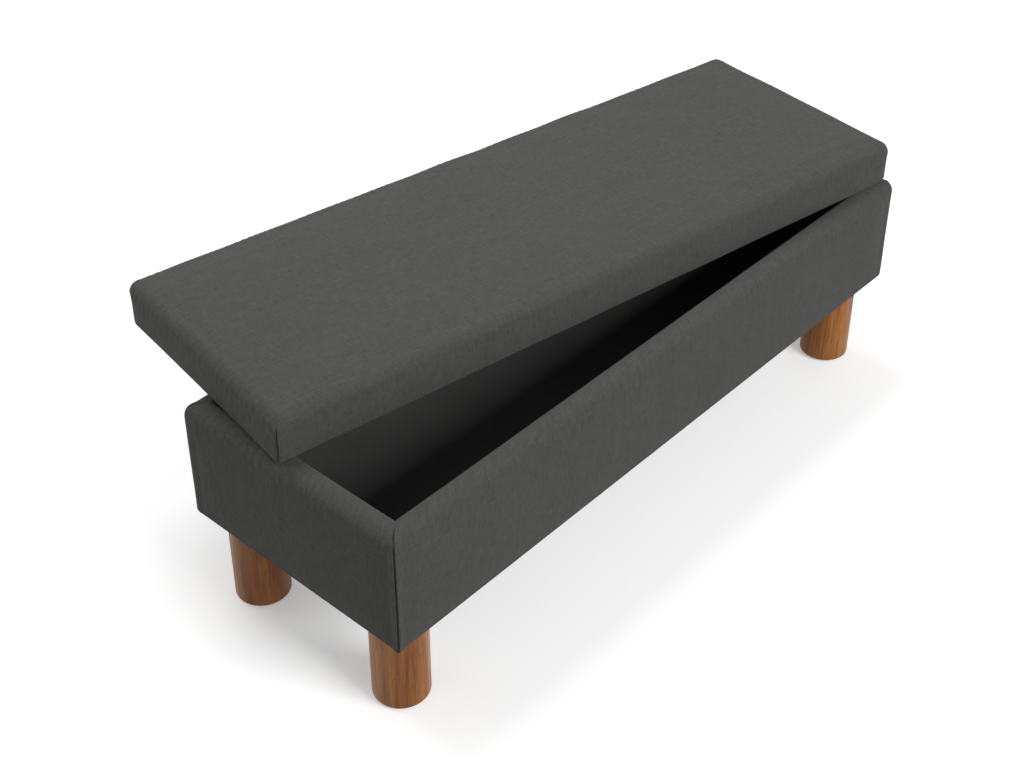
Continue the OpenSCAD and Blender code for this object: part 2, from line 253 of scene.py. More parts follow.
def wall_section(t):
    """Depth from the outer face, height, and outward direction (out, up) at distance t round the section."""
    a_in = arc(t, INNER_ROLL, SECTION[1])
    a_out = arc(t, OUTER_ROLL, SECTION[3])
    a_low = arc(t, LOWER_ROLL, SECTION[5])
    along = [np.clip(t - at, 0, length) for at, length in zip(SECTION_AT, SECTION)]
    depth = (WALL - RIM_IN_R * (1 - np.cos(a_in)) - along[2] - RIM_OUT_R * np.sin(a_out)
             + EDGE_R * (1 - np.cos(a_low)) + along[6])
    height = (BOX_H - TURN_DOWN + along[0] + RIM_IN_R * np.sin(a_in) - RIM_OUT_R * (1 - np.cos(a_out))
              - along[4] - EDGE_R * np.sin(a_low))
    angle = np.where(t < RIM, -QUARTER + a_in, np.where(t < FACE, a_out, QUARTER + a_low))
    return depth, height, np.sin(angle), np.cos(angle)


def wall_points(side, s, t):
    """Places and outward directions on a side's cover at s along the side and t along its section."""
    depth, height, out, up = (a[None, :] for a in wall_section(t))
    s = s[:, None]
    (low, low_r, _), (high, high_r, _) = ENDS[side]
    radius = np.where(s < (low + high) / 2, low_r, high_r)
    past = (s - np.clip(s, low, high)) / radius
    run, reach = SIDE_RUN[side], SIDE_REACH[side]
    share = (np.clip(s, low, high) - low) / (high - low)
    low_x, high_x = np.maximum(depth, low_r) - run, run - np.maximum(depth, high_r)
    straight = past == 0
    deeper = np.where(straight, depth, np.maximum(depth, radius))
    r = np.where(straight, 0, np.maximum(radius - depth, 0))
    x = low_x + share * (high_x - low_x) + r * np.sin(past)
    y = -reach + deeper - r * np.cos(past)
    place = np.stack(np.broadcast_arrays(x, y, BOX_LOW.z + height), -1)
    facing = np.stack(np.broadcast_arrays(out * np.sin(past), -out * np.cos(past), up), -1)
    turn = np.array(Matrix.Rotation(side * QUARTER, 3, "Z"))
    return place @ turn.T, facing @ turn.T


def side_steps(side, fine):
    """Places along a side, close together round its corners and next to their seams."""
    (low, _, start), (high, _, stop) = ENDS[side]
    least = 0.0002  # between two neighbouring places
    low_near, high_near = [np.concatenate([SEAM_STEPS[SEAM_STEPS < length - least], length + SEAM_STEPS])
                           for length in (low - start, stop - high)]
    middle = steps(start + low_near[-1] + fine, stop - high_near[-1] - fine, fine)
    return np.concatenate([start + low_near, middle, stop - high_near[::-1]])


def section_steps(sizes):
    """Distances along the section, with the given cell size on each stretch."""
    parts = [steps(SECTION_AT[i], SECTION_AT[i + 1], size)[:-1] for i, size in enumerate(sizes)]
    return np.concatenate(parts + [[SECTION_AT[-1]]])


def cover_swell():
    """The padding pushing out the whole ring of cover cloth, as coarse grids of movement for each side."""
    t = section_steps(COARSE_SECTION)
    rows, points = [], []
    for side in range(4):
        (low, _, start), (high, _, stop) = ENDS[side]
        middle = steps(low + SEAM_STEPS[-1], high - SEAM_STEPS[-1], COVER_CELL)
        s = np.concatenate([[start], middle, [stop]])
        rows.append(s)
        points.append(wall_points(side, s, t)[0])
    starts = np.cumsum([0] + [len(s) - 1 for s in rows])
    count = starts[-1]
    index = np.arange(count * len(t)).reshape(count, len(t))
    verts = np.concatenate([p[:-1] for p in points]).reshape(-1, 3)
    ring = np.concatenate([index, index[:1]])
    rolled = np.abs(t - OUTER_ROLL - SECTION[3] / 2) < SECTION[3] * HELD_ROLL / 2
    tucked = (t < t[3]) | (t > LOWER_ROLL)  # behind the lining's edge and under the box
    pinned = np.concatenate([index[:, rolled | tucked].ravel(), index[starts[:-1]].ravel()])
    moved = inflate(verts, grid_faces(ring)[:, ::-1], pinned, pressure=COVER_PRESSURE, cap=COVER_CAP)
    moved = moved.reshape(count, len(t), 3)
    closed = np.concatenate([moved, moved[:1]])
    return rows, t, [closed[starts[i]:starts[i + 1] + 1] for i in range(4)]


def flattened(height):
    """Heights on the rim, flattened by the lid that lies on it, so that its bumper dots clear the cloth."""
    start = BOX_HIGH.z + RIM_REST - RIM_SOFT
    return np.where(height > start, start + RIM_SOFT * np.tanh((height - start) / RIM_SOFT), height)


def seam_distance(side, s, t):
    """Distance along the cloth from a side's nearer seam, and the radius of the corner there."""
    from_end = np.minimum(s - s[0], s[-1] - s)[:, None]
    at_start = s[:, None] < (s[0] + s[-1]) / 2
    radius = np.where(at_start, ENDS[side][0][1], ENDS[side][1][1])
    depth = wall_section(t)[0][None, :]
    turn_r = np.maximum(radius - depth, 0)  # the corner's radius at each depth in the wall
    round_part = radius * QUARTER / 2
    from_seam = np.where(from_end < round_part, from_end * turn_r / radius,
                         from_end - round_part + turn_r * QUARTER / 2)
    return from_seam, radius


def cover_relief(side, s, t):
    """How far a side's cloth stands out, by its ripples, slack and seams, and where the groove is, which the
    cloth's material darkens as painted shade.
    """
    from_seam, radius = seam_distance(side, s, t)
    along, row = s[:, None], t[None, :]
    roll = OUTER_ROLL + SECTION[3] * 0.5
    below = smoothstep(row, roll + RIPPLE_DOWN, roll)
    above = smoothstep(row, RIM - 0.004, roll - 0.004)
    inner = smoothstep(row, INSIDE, INNER_ROLL) * smoothstep(row, RIM + 0.006, RIM)
    ripple = waves(along, row, seed=11 + side, shortest=0.0055, longest=0.016, slant=0.16)
    drift = 0.55 + 0.45 * waves(along, row, seed=31 + side, shortest=0.05, longest=0.16, slant=0.6, count=6)
    push = RIPPLE * ripple * np.clip(drift, 0, 1.3) * (below * above + 0.5 * inner)
    slack = waves(along, row, seed=51 + side, shortest=0.09, longest=0.28, slant=0.8, count=8)
    loose = smoothstep(row, INNER_ROLL, OUTER_ROLL)
    push += SLACK * slack * loose * smoothstep(row, TURNED_IN, LOWER_ROLL - 0.02)
    seam = smoothstep(row, RIM - 0.004, OUTER_ROLL + 0.006) * smoothstep(row, SECTION_END, TURNED_IN)
    tight = radius < min(CORNER_R) + 0.001
    tuck = SEAM_SHALLOW + tight * (SEAM_TUCK - SEAM_SHALLOW) * smoothstep(row, OUTER_ROLL, FACE)
    tuck = tuck * smoothstep(row, LOWER_ROLL + 0.001, LOWER_ROLL - 0.014)
    groove = seam * np.exp(-(from_seam / SEAM_WIDE) ** 2)
    push += seam * SEAM_RIDGE * np.exp(-(from_seam / SEAM_RIDGE_WIDE) ** 2) - groove * tuck
    return push, groove


def cover_panel(side, swell_rows, swell_t, swell):
    """One side's cover: the section swept along the side, swollen, with the cloth's relief."""
    s = side_steps(side, FINE_SIDE)
    t = section_steps(FINE_SECTION)
    row = t[None, :]
    place, facing = wall_points(side, s, t)
    moved = refine(swell, swell_rows, swell_t, s, t)
    push, groove = cover_relief(side, s, t)
    place = place + moved + push[..., None] * facing
    inside = smoothstep(row, INSIDE, INSIDE + 0.020) * smoothstep(row, OUTER_ROLL + 0.012, RIM)
    left_wall = smoothstep(place[..., 0], WALL - HALF_L + BULGE_FADE, WALL - HALF_L)
    place[..., 0] += LEFT_BULGE * inside * left_wall
    place[..., 2] = flattened(place[..., 2])
    index = np.arange(len(s) * len(t)).reshape(len(s), len(t))
    faces = grid_faces(index)[:, ::-1]
    flat = np.stack(np.broadcast_arrays(row, s[:, None] + PATTERN_APART * side), -1).reshape(-1, 2)
    # The seam mark carries the groove, which the cloth's material darkens as painted shade
    obj = mesh_object(SIDES[side] + "_cover_cloth", place.reshape(-1, 3), faces, uv=flat[faces.ravel()],
                      marks={"across": np.zeros(len(flat)), "seam": groove})
    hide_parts(SIDES[side] + "_cover")
    return obj


# ---------------------------------------------------------------- cover of the lid

LID_FINE = 0.0029
LID_RING = 0.0030
LID_SEAM_STEPS = np.array([0, 0.4, 0.9, 1.6, 2.6, 4.0, 6.0, 8.5, 11.5, 14.5]) * 0.001


def lid_levels(size):
    """The lid's rings from the hem's inner edge up: (inset, height on the plain box)."""
    hem = [(inset, 0.0) for inset in np.linspace(LID_HEM, LID_SOFT, 5)[:-1]]
    turns = np.linspace(0, QUARTER, 5)
    roll = [(LID_SOFT * (1 - math.sin(a)), LID_SOFT * (1 - math.cos(a))) for a in turns]
    side = [(0.0, z) for z in steps(LID_SOFT, LID_T, size)[1:]]
    return np.array(hem + roll + side)


def lid_places(x, y, z, inset):
    """Puts points of a plain box on the lid's rounded form. Gives their places and outward directions."""
    half_l, half_w = LID_L / 2 - inset, LID_W / 2 - inset
    x = x * half_l / (LID_L / 2)
    y = y * half_w / (LID_W / 2)
    low_r = np.where((x < 0) & (y < 0), LID_TIGHT_R, np.where(x < 0, LID_LOOSE_R, LID_CORNER_R))
    low_r = np.maximum(low_r - inset, 0.001)
    lift = smoothstep(z, LID_T - LID_EDGE_R - 0.01, LID_T)
    r = low_r + lift * (LID_EDGE_R - low_r)
    core = np.stack([np.clip(x, r - half_l, half_l - r), np.clip(y, r - half_w, half_w - r),
                     np.minimum(z, LID_T - LID_EDGE_R)], -1)
    off = np.stack([x, y, z], -1) - core
    tall = np.where(z > LID_T - LID_EDGE_R, LID_EDGE_R, r)
    scaled = off / np.stack([r, r, tall], -1)
    facing = scaled / np.maximum(np.linalg.norm(scaled, axis=-1, keepdims=True), TINY)
    return core + facing * np.stack([r, r, tall], -1), facing


def lid_shell(xs, ys, levels):
    """Surface of a box grid, open below: its vertices' grid places, and their numbers on each face."""
    nx, ny, nz = len(xs), len(ys), len(levels)
    surface = np.zeros((nx, ny, nz), bool)
    surface[[0, -1]] = True
    surface[:, [0, -1]] = True
    surface[:, :, -1] = True
    index = np.full(surface.shape, -1)
    index[surface] = np.arange(surface.sum())
    patches = {"top": index[:, :, -1], "front": index[:, 0, :], "back": index[::-1, -1, :],
               "left": index[0, ::-1, :], "right": index[-1, :, :]}
    return np.argwhere(surface), patches


def lid_steps(half):
    """Places along one of the lid's sides, close together at its seams."""
    end = half - LID_SEAM_STEPS[-1] - LID_FINE
    return np.concatenate([LID_SEAM_STEPS - half, steps(-end, end, LID_FINE), half - LID_SEAM_STEPS[::-1]])


def lid_swell():
    """The lid's padding pushing out its cover, as movements on a coarse grid of the same layout."""
    xs, ys = steps(-LID_L / 2, LID_L / 2, LID_CELL), steps(-LID_W / 2, LID_W / 2, LID_CELL)
    levels = lid_levels(LID_RING_CELL)
    cells, patches = lid_shell(xs, ys, levels)
    i, j, k = cells.T
    places, _ = lid_places(xs[i], ys[j], levels[k, 1], levels[k, 0])
    moved = np.zeros(places.shape)
    faces = np.concatenate([grid_faces(p) for p in patches.values()])
    from_edge = np.minimum(LID_L / 2 - np.abs(xs[i]), LID_W / 2 - np.abs(ys[j]))
    held = LID_EDGE_R * HELD_ROLL
    rolled = (levels[k, 1] > LID_T - held) & (from_edge < held)
    tucked = k < 7  # the rings of the hem and most of the lower roll
    pinned = np.flatnonzero(tucked | rolled)
    moved = inflate(places, faces, pinned, pressure=LID_PRESSURE, cap=LID_CAP)
    return xs, ys, levels, {name: moved[p] for name, p in patches.items()}


def lid_cover():
    """The lid's padded cover, drawn about its own middle and then turned to where it lies."""
    swell_x, swell_y, swell_levels, swell = lid_swell()
    xs, ys = lid_steps(LID_L / 2), lid_steps(LID_W / 2)
    levels = lid_levels(LID_RING)
    cells, patches = lid_shell(xs, ys, levels)
    i, j, k = cells.T
    x, y, inset, z = xs[i], ys[j], levels[k, 0], levels[k, 1]
    places, facing = lid_places(x, y, z, inset)
    # Where a ring lies among the knots stands in for its distance up the side, on both grids alike
    ring = np.interp(np.arange(len(levels)), level_knots(levels), np.arange(4.0))
    swell_ring = np.interp(np.arange(len(swell_levels)), level_knots(swell_levels), np.arange(4.0))
    moved = np.zeros(places.shape)
    moved[patches["top"]] = refine(swell["top"], swell_x, swell_y, xs, ys)
    for name, along, swell_along in (("front", xs, swell_x), ("back", -xs[::-1], -swell_x[::-1]),
                                     ("left", -ys[::-1], -swell_y[::-1]), ("right", ys, swell_y)):
        moved[patches[name]] = refine(swell[name], swell_along, swell_ring, along, ring)
    push, groove = lid_relief(x, y, z, inset)
    places = places + moved + push[:, None] * facing
    faces, flat = lid_cloth_layout(patches, x, y, z, inset)
    lies_at = Matrix.Translation((LID_MIDDLE.x, LID_MIDDLE.y, LID_LOW.z))
    turned = lies_at @ Matrix.Rotation(LID_ANGLE, 4, "Z")
    places = places @ np.array(turned.to_3x3()).T + np.array(turned.translation)
    on_long_side = smoothstep(LID_T - z, 0.0, 0.03) * (np.abs(y) > LID_W / 2 - SAME)
    on_edge = smoothstep(LID_W / 2 - np.abs(y), 0.012, 0.0) * (z > LID_T - SAME) * 0.3
    # The seam mark carries the groove, which the cloth's material darkens as painted shade
    marks = {"across": on_long_side + on_edge, "seam": groove}
    obj = mesh_object("lid_cover_cloth", places, faces, uv=flat, marks=marks)
    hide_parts("lid_cover")
    return obj


def level_knots(levels):
    """Ring numbers of the hem's inner edge, the side's foot, the start of the upper roll and the top."""
    foot = np.flatnonzero(levels[:, 0] == 0)[0]
    roll = np.argmin(np.abs(levels[:, 1] - (LID_T - LID_EDGE_R)))
    return np.array([0, foot, roll, len(levels) - 1])


def lid_relief(x, y, z, inset):
    """How far the lid's cloth stands out, by its ripples, slack and seams, and where the groove is, which the
    cloth's material darkens as painted shade.
    """
    in_x, in_y, drop = LID_L / 2 - np.abs(x), LID_W / 2 - np.abs(y), LID_T - z
    from_long = np.where(drop > SAME, drop, -in_y)  # distance down past the upper edge, negative on top
    from_short = np.where(drop > SAME, drop, -in_x)
    on_long = (in_y < SAME) | (drop < SAME)
    on_short = (in_x < SAME) | (drop < SAME)

    def band(distance):
        return smoothstep(distance, -0.060, -0.006) * smoothstep(distance, RIPPLE_DOWN, 0.012)

    by_long = waves(x, from_long, seed=71, shortest=0.0065, longest=0.017, slant=0.16)
    by_short = waves(y, from_short, seed=72, shortest=0.0065, longest=0.017, slant=0.30)
    drift = waves(x, y, seed=73, shortest=0.05, longest=0.18, slant=0.7, count=6)
    slack = waves(x, y, seed=74, shortest=0.12, longest=0.40, slant=1.0, count=8)
    push = RIPPLE * on_long * band(from_long) * by_long
    push = push + RIPPLE * on_short * band(from_short) * by_short
    push *= 0.35 + 0.65 * np.clip(0.5 + 0.5 * drift, 0, 1.4)
    push += SLACK * 1.3 * slack * smoothstep(inset, 0.004, 0.0)
    seam_top = smoothstep(drop, 0.006, 0.020) * smoothstep(inset, 0.012, 0.0)
    corner = np.where(drop > SAME, np.maximum(in_x, in_y), 1.0)
    groove = seam_top * np.exp(-(corner / LID_SEAM_WIDE) ** 2)
    tuck = np.where((x < 0) & (y < 0), LID_TUCK, LID_SHALLOW)
    push += seam_top * LID_RIDGE * np.exp(-(corner / LID_RIDGE_WIDE) ** 2) - tuck * groove
    return push, groove


def lid_cloth_layout(patches, x, y, z, inset):
    """Faces of the lid's cover with the cloth laid out flat: the sides fold down from the top's edges."""
    drop = LID_T - z + inset
    out_x, out_y = x + np.sign(x) * drop, y + np.sign(y) * drop
    layout = {"top": (x, y), "front": (x, out_y), "back": (x, out_y),
              "left": (out_x, y), "right": (out_x, y)}
    faces, flat = [], []
    for name, patch in patches.items():
        quads = grid_faces(patch)
        u, v = layout[name]
        faces.append(quads)
        flat.append(np.stack([u[quads.ravel()], v[quads.ravel()]], -1))
    return np.concatenate(faces), np.concatenate(flat)


# ---------------------------------------------------------------- lining and dust cloths


def compartment_lining():
    """Lining of the walls, tucked behind the cover's turned-down edge, with a soft corner at the floor."""
    behind, r, foot = 0.0006, 0.008, 0.006
    clear = 0.0004  # between its upper edge and the cover's, and between its foot and the floor's lining
    half_l, half_w = HALF_L - WALL + behind, HALF_W - WALL + behind
    levels = [(0.0, LINING_TOP - clear)]
    levels += [(0.0, z) for z in steps(LINING_TOP - 0.003, FLOOR_LINING_TOP + foot, 0.006)]
    levels += [(foot * (1 - math.cos(a)), FLOOR_LINING_TOP + clear + foot * (1 - math.sin(a)))
               for a in np.linspace(0, QUARTER, 5)[1:]]
    levels = np.array(levels)
    outline = rounded_outline(half_l, half_w, r, size=0.008)
    sides = np.linalg.norm(np.diff(outline, axis=0, append=outline[:1]), axis=1)
    length = np.concatenate([[0], np.cumsum(sides)])
    inward = -outline_normals(half_l, half_w, r, outline)
    height = levels[:, 1]
    along = length[:-1, None]
    slack = 0.0005 * waves(along, height, seed=91, shortest=0.06, longest=0.2, slant=0.8, count=8)
    loose = smoothstep(height, LINING_TOP, LINING_TOP - 0.02)
    loose = loose * smoothstep(height, FLOOR_LINING_TOP, FLOOR_LINING_TOP + 0.02)
    inset = levels[None, :, 0] + (slack + behind) * loose
    place = outline[:, None, :] + inward[:, None, :] * inset[..., None]
    verts = np.concatenate([place, np.broadcast_to(levels[None, :, 1:], inset.shape + (1,))], -1)
    index = np.arange(inset.size).reshape(inset.shape)
    index = np.concatenate([index, index[:1]])
    faces = grid_faces(index)[:, ::-1]
    count = inset.shape[1]
    row, column = np.divmod(faces, count)
    last = faces.max(axis=1, keepdims=True) // count == len(outline) - 1
    row = np.where(last & (row == 0), len(outline), row)
    flat = np.stack([levels[column, 1], length[row]], -1).reshape(-1, 2)
    obj = mesh_object("wall_lining_cloth", verts.reshape(-1, 3), faces, uv=flat)
    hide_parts("front_lining", "back_lining", "left_lining", "right_lining")
    return obj


def rounded_outline(half_l, half_w, r, size):
    """Points round a rectangle with round corners, anticlockwise."""
    points = []
    for quarter, (cx, cy) in enumerate([(half_l - r, r - half_w), (half_l - r, half_w - r),
                                        (r - half_l, half_w - r), (r - half_l, r - half_w)]):
        start = (quarter - 1) * QUARTER
        points += [(cx + r * math.cos(a), cy + r * math.sin(a)) for a in start + np.linspace(0, QUARTER, 6)]
    points = np.array(points)
    filled = []
    for a, b in zip(points, np.roll(points, -1, axis=0)):
        n = max(1, int(round(np.linalg.norm(b - a) / size)))
        filled += [a + (b - a) * i / n for i in range(n)]
    return np.array(filled)


def outline_normals(half_l, half_w, r, outline):
    """Outward directions at the points of a rounded rectangle."""
    core = np.clip(outline, [r - half_l, r - half_w], [half_l - r, half_w - r])
    off = outline - core
    return off / np.maximum(np.linalg.norm(off, axis=1, keepdims=True), TINY)


def floor_lining():
    """The lining's floor: a cloth-covered board with soft edges, a little clear of the walls."""
    low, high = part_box("floor_lining")
    clear, soft_edge = 0.0035, 0.004
    half_l, half_w = high.x - clear, high.y - clear
    xs, ys = steps(-half_l, half_l, 0.010), steps(-half_w, half_w, 0.010)
    x, y = np.meshgrid(xs, ys, indexing="ij")
    edge = np.minimum(half_l - np.abs(x), half_w - np.abs(y))
    slack = waves(x, y, seed=95, shortest=0.10, longest=0.35, slant=1.0, count=8)
    z = low.z + (high.z - low.z) * np.sqrt(np.clip(edge / soft_edge, 0, 1))
    z = z + 0.0004 * slack * smoothstep(edge, 0, 0.05)
    index = np.arange(x.size).reshape(x.shape)
    faces = grid_faces(index)
    flat = np.stack([x, y], -1).reshape(-1, 2)
    verts = np.stack([x, y, z], -1).reshape(-1, 3)
    obj = mesh_object("floor_lining_cloth", verts, faces, uv=flat[faces.ravel()])
    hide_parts("floor_lining")
    return obj


def sagging_sheet(name, node, half_l, half_w, level, sag, seed, holes=()):
    """A thin cloth stapled round its edge that sags a little, cut away round the legs and outside them."""
    xs, ys = steps(-half_l, half_l, 0.008), steps(-half_w, half_w, 0.008)
    x, y = (a.copy() for a in np.meshgrid(xs, ys, indexing="ij"))
    keep = np.ones(x.shape, bool)
    for cx, cy, r in holes:
        outward = (x * np.sign(cx) > abs(cx)) & (y * np.sign(cy) > abs(cy))
        keep &= (np.hypot(x - cx, y - cy) > r) & ~outward
    edge = np.minimum(half_l - np.abs(x), half_w - np.abs(y))
    slack = waves(x, y, seed, shortest=0.03, longest=0.10, slant=1.0, count=10)
    z = level - sag * smoothstep(edge, 0, 0.12) + 0.0003 * slack * smoothstep(edge, 0, 0.03)
    index = np.arange(x.size).reshape(x.shape)
    faces = grid_faces(index)[:, ::-1]
    alive = keep.ravel()[faces]
    faces = faces[alive.any(axis=1)]
    used = np.unique(faces)
    for cx, cy, r in holes:
        dx, dy = x.ravel()[used] - cx, y.ravel()[used] - cy
        far = np.hypot(dx, dy)
        inside = (far < r) & (far > TINY)
        x.ravel()[used[inside]] = cx + dx[inside] / far[inside] * r
        y.ravel()[used[inside]] = cy + dy[inside] / far[inside] * r
    flat = np.stack([x, y], -1).reshape(-1, 2)
    number = np.full(x.size, -1)
    number[used] = np.arange(len(used))
    verts = np.stack([x, y, z], -1).reshape(-1, 3)[used]
    obj = mesh_object(name, verts, number[faces], uv=flat[faces.ravel()])
    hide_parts(node)
    return obj


def dust_cloth_under_box():
    """The cloth under the box, with its edge cut round the four legs."""
    low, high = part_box("dust_cloth")
    around = LEG_R + 0.001
    holes = [(sx * LEG_X, sy * LEG_Y, around) for sx in (-1, 1) for sy in (-1, 1)]
    obj = sagging_sheet("box_dust_cloth", "dust_cloth", high.x, high.y, level=low.z, sag=0.0025, seed=101,
                        holes=holes)
    return obj


def dust_cloth_under_lid():
    """The cloth under the lid, made about the lid's middle and then turned to where it lies."""
    low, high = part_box("lid_dust_cloth")
    length, width = unturned_size(high - low, LID_ANGLE, 0.0)
    obj = sagging_sheet("lid_dust_cloth_sheet", "lid_dust_cloth", length / 2, width / 2, level=low.z,
                        sag=0.0004, seed=102)
    turned = Matrix.Rotation(LID_ANGLE, 4, "Z")
    obj.data.transform(Matrix.Translation((LID_MIDDLE.x, LID_MIDDLE.y, 0)) @ turned)
    return obj


# ---------------------------------------------------------------- materials


class Nodes:
    """A material's node tree, built by short calls."""

    def __init__(self, name):
        self.material = bpy.data.materials.new(name)
        self.material.use_nodes = True
        self.tree = self.material.node_tree
        self.tree.nodes.clear()
        self.shader = self.add("ShaderNodeBsdfPrincipled")
        out = self.add("ShaderNodeOutputMaterial")
        self.link(self.shader.outputs["BSDF"], out.inputs["Surface"])

    def add(self, kind, **settings):
        node = self.tree.nodes.new(kind)
        for key, value in settings.items():
            setattr(node, key, value)
        return node

    def link(self, a, b):
        self.tree.links.new(a, b)

    def feed(self, socket, value):
        """Links a socket's value, or sets a number or a colour."""
        if hasattr(value, "is_linked"):
            self.link(value, socket)
        else:
            socket.default_value = value

    def math(self, operation, a, b=0.0):
        node = self.add("ShaderNodeMath", operation=operation)
        self.feed(node.inputs[0], a)
        self.feed(node.inputs[1], b)
        return node.outputs[0]

    def total(self, parts):
        """Sum of values, each times its weight."""
        total = 0.0
        for value, weight in parts:
            total = self.math("ADD", self.math("MULTIPLY", value, weight), total)
        return total

    def mix(self, factor, a, b):
        node = self.add("ShaderNodeMix", data_type="FLOAT")
        self.feed(node.inputs[0], factor)
        self.feed(node.inputs[2], a)
        self.feed(node.inputs[3], b)
        return node.outputs[0]

    def colors(self, factor, a, b):
        node = self.add("ShaderNodeMix", data_type="RGBA")
        self.feed(node.inputs[0], factor)
        self.feed(node.inputs[6], a)
        self.feed(node.inputs[7], b)
        return node.outputs[2]

    def place(self, scale, use="Object", turn=(0, 0, 0), shift=(0, 0, 0)):
        """Coordinates in metres, times the scale. UV are those of the cloth laid out flat."""
        source = self.add("ShaderNodeTexCoord")
        mapping = self.add("ShaderNodeMapping")
        mapping.inputs["Scale"].default_value = scale
        mapping.inputs["Rotation"].default_value = turn
        mapping.inputs["Location"].default_value = shift
        self.link(source.outputs[use], mapping.inputs["Vector"])
        return mapping.outputs["Vector"]

    def noise(self, where, scale, detail=3.0, rough=0.55, distortion=0.0):
        node = self.add("ShaderNodeTexNoise")
        self.link(where, node.inputs["Vector"])
        node.inputs["Scale"].default_value = scale
        node.inputs["Detail"].default_value = detail
        node.inputs["Roughness"].default_value = rough
        node.inputs["Distortion"].default_value = distortion
        return node.outputs["Fac"]

    def spread(self, value, low, high, to_low=0.0, to_high=1.0):
        """Maps low to high on to another range, and keeps to it."""
        node = self.add("ShaderNodeMapRange")
        self.link(value, node.inputs["Value"])
        for key, number in (("From Min", low), ("From Max", high), ("To Min", to_low), ("To Max", to_high)):
            node.inputs[key].default_value = number
        return node.outputs["Result"]

    def bump(self, height, strength, distance, under=None):
        node = self.add("ShaderNodeBump")
        node.inputs["Strength"].default_value = strength
        node.inputs["Distance"].default_value = distance
        self.link(height, node.inputs["Height"])
        if under is not None:
            self.link(under, node.inputs["Normal"])
        return node.outputs["Normal"]

    def finish(self, color, roughness, normal=None, **constants):
        """Feeds the shader, with constants on its own sockets. Gives the material."""
        self.feed(self.shader.inputs["Base Color"], color)
        self.feed(self.shader.inputs["Roughness"], roughness)
        if normal is not None:
            self.link(normal, self.shader.inputs["Normal"])
        for key, value in constants.items():
            self.shader.inputs[key.replace("_", " ")].default_value = value
        return self.material


def rgb(r, g, b):
    return (r, g, b, 1.0)


def threads(n, per_metre):
    """Height of a plain weave, with warp along one axis and weft along the other."""
    where = n.place((per_metre, per_metre, 1), "UV")
    split = n.add("ShaderNodeSeparateXYZ")
    n.link(where, split.inputs[0])
    u, v = split.outputs[0], split.outputs[1]
    warp = n.math("SINE", n.math("MULTIPLY", u, 2 * math.pi))
    weft = n.math("SINE", n.math("MULTIPLY", v, 2 * math.pi))
    checks = n.math("MULTIPLY", warp, weft)
    ridges = n.math("ABSOLUTE", n.math("ADD", n.math("MULTIPLY", warp, 0.6), n.math("MULTIPLY", weft, 0.5)))
    return n.math("ADD", n.math("MULTIPLY", checks, 0.35), ridges)


def woven_cover():
    """Charcoal linen-look cloth: fine weave, short slubs along both threads and faint long streaks, with painted
    shade in the seam grooves.
    """
    n = Nodes("charcoal_cloth")
    along = n.noise(n.place((48, 640, 1), "UV"), 1.0, 3.0, 0.65)
    across = n.noise(n.place((640, 48, 1), "UV", shift=(3.1, 1.7, 0)), 1.0, 3.0, 0.65)
    turned = n.add("ShaderNodeAttribute", attribute_name="across").outputs["Fac"]
    seam = n.add("ShaderNodeAttribute", attribute_name="seam").outputs["Fac"]
    major = n.mix(turned, along, across)
    minor = n.mix(turned, across, along)
    long_along = n.noise(n.place((5, 110, 1), "UV", shift=(1.9, 6.3, 0)), 1.0, 2.0, 0.5)
    long_across = n.noise(n.place((110, 5, 1), "UV", shift=(4.7, 2.9, 0)), 1.0, 2.0, 0.5)
    streak = n.mix(turned, long_along, long_across)
    patch = n.noise(n.place((1, 1, 1), shift=(5, 2, 1)), 6.0, 2.0, 0.5)
    tone = n.total([(major, 0.46), (minor, 0.40), (streak, 0.09), (patch, 0.05)])
    dark, light = rgb(0.0390, 0.0390, 0.0378), rgb(0.0730, 0.0730, 0.0707)
    # Painted shade: near-black colour laid along the seam grooves by the seam mark
    painted_seam_shade = rgb(0.006, 0.006, 0.006)
    color = n.colors(n.spread(tone, 0.36, 0.64), dark, light)
    # Painted shade: the seam mark darkens the cloth nearly to black along each seam groove
    color = n.colors(n.math("MULTIPLY", seam, 0.9), color, painted_seam_shade)
    weave = threads(n, 850)
    slub = n.total([(major, 0.9), (minor, 0.7)])
    normal = n.bump(weave, 0.35, 0.0002)
    normal = n.bump(slub, 0.40, 0.0008, under=normal)
    rough = n.spread(tone, 0.38, 0.62, 0.95, 0.82)
    return n.finish(color, rough, normal, Sheen_Weight=0.08, Sheen_Roughness=0.5,
                    Sheen_Tint=rgb(0.8, 0.8, 0.78), Specular_IOR_Level=0.22)


def smooth_lining():
    """Near-black lining: tight plain weave with a faint satin look."""
    n = Nodes("lining_cloth")
    cloud = n.noise(n.place((1, 1, 1)), 7.0, 3.0, 0.5)
    fibre = n.noise(n.place((60, 900, 1), "UV"), 1.0, 3.0, 0.6)
    tone = n.math("ADD", n.math("MULTIPLY", cloud, 0.6), n.math("MULTIPLY", fibre, 0.4))
    color = n.colors(n.spread(tone, 0.35, 0.65), rgb(0.060, 0.060, 0.0585), rgb(0.080, 0.080, 0.078))
    normal = n.bump(threads(n, 1100), 0.2, 0.0001)
    return n.finish(color, n.spread(tone, 0.35, 0.65, 0.62, 0.5), normal, Specular_IOR_Level=0.4)


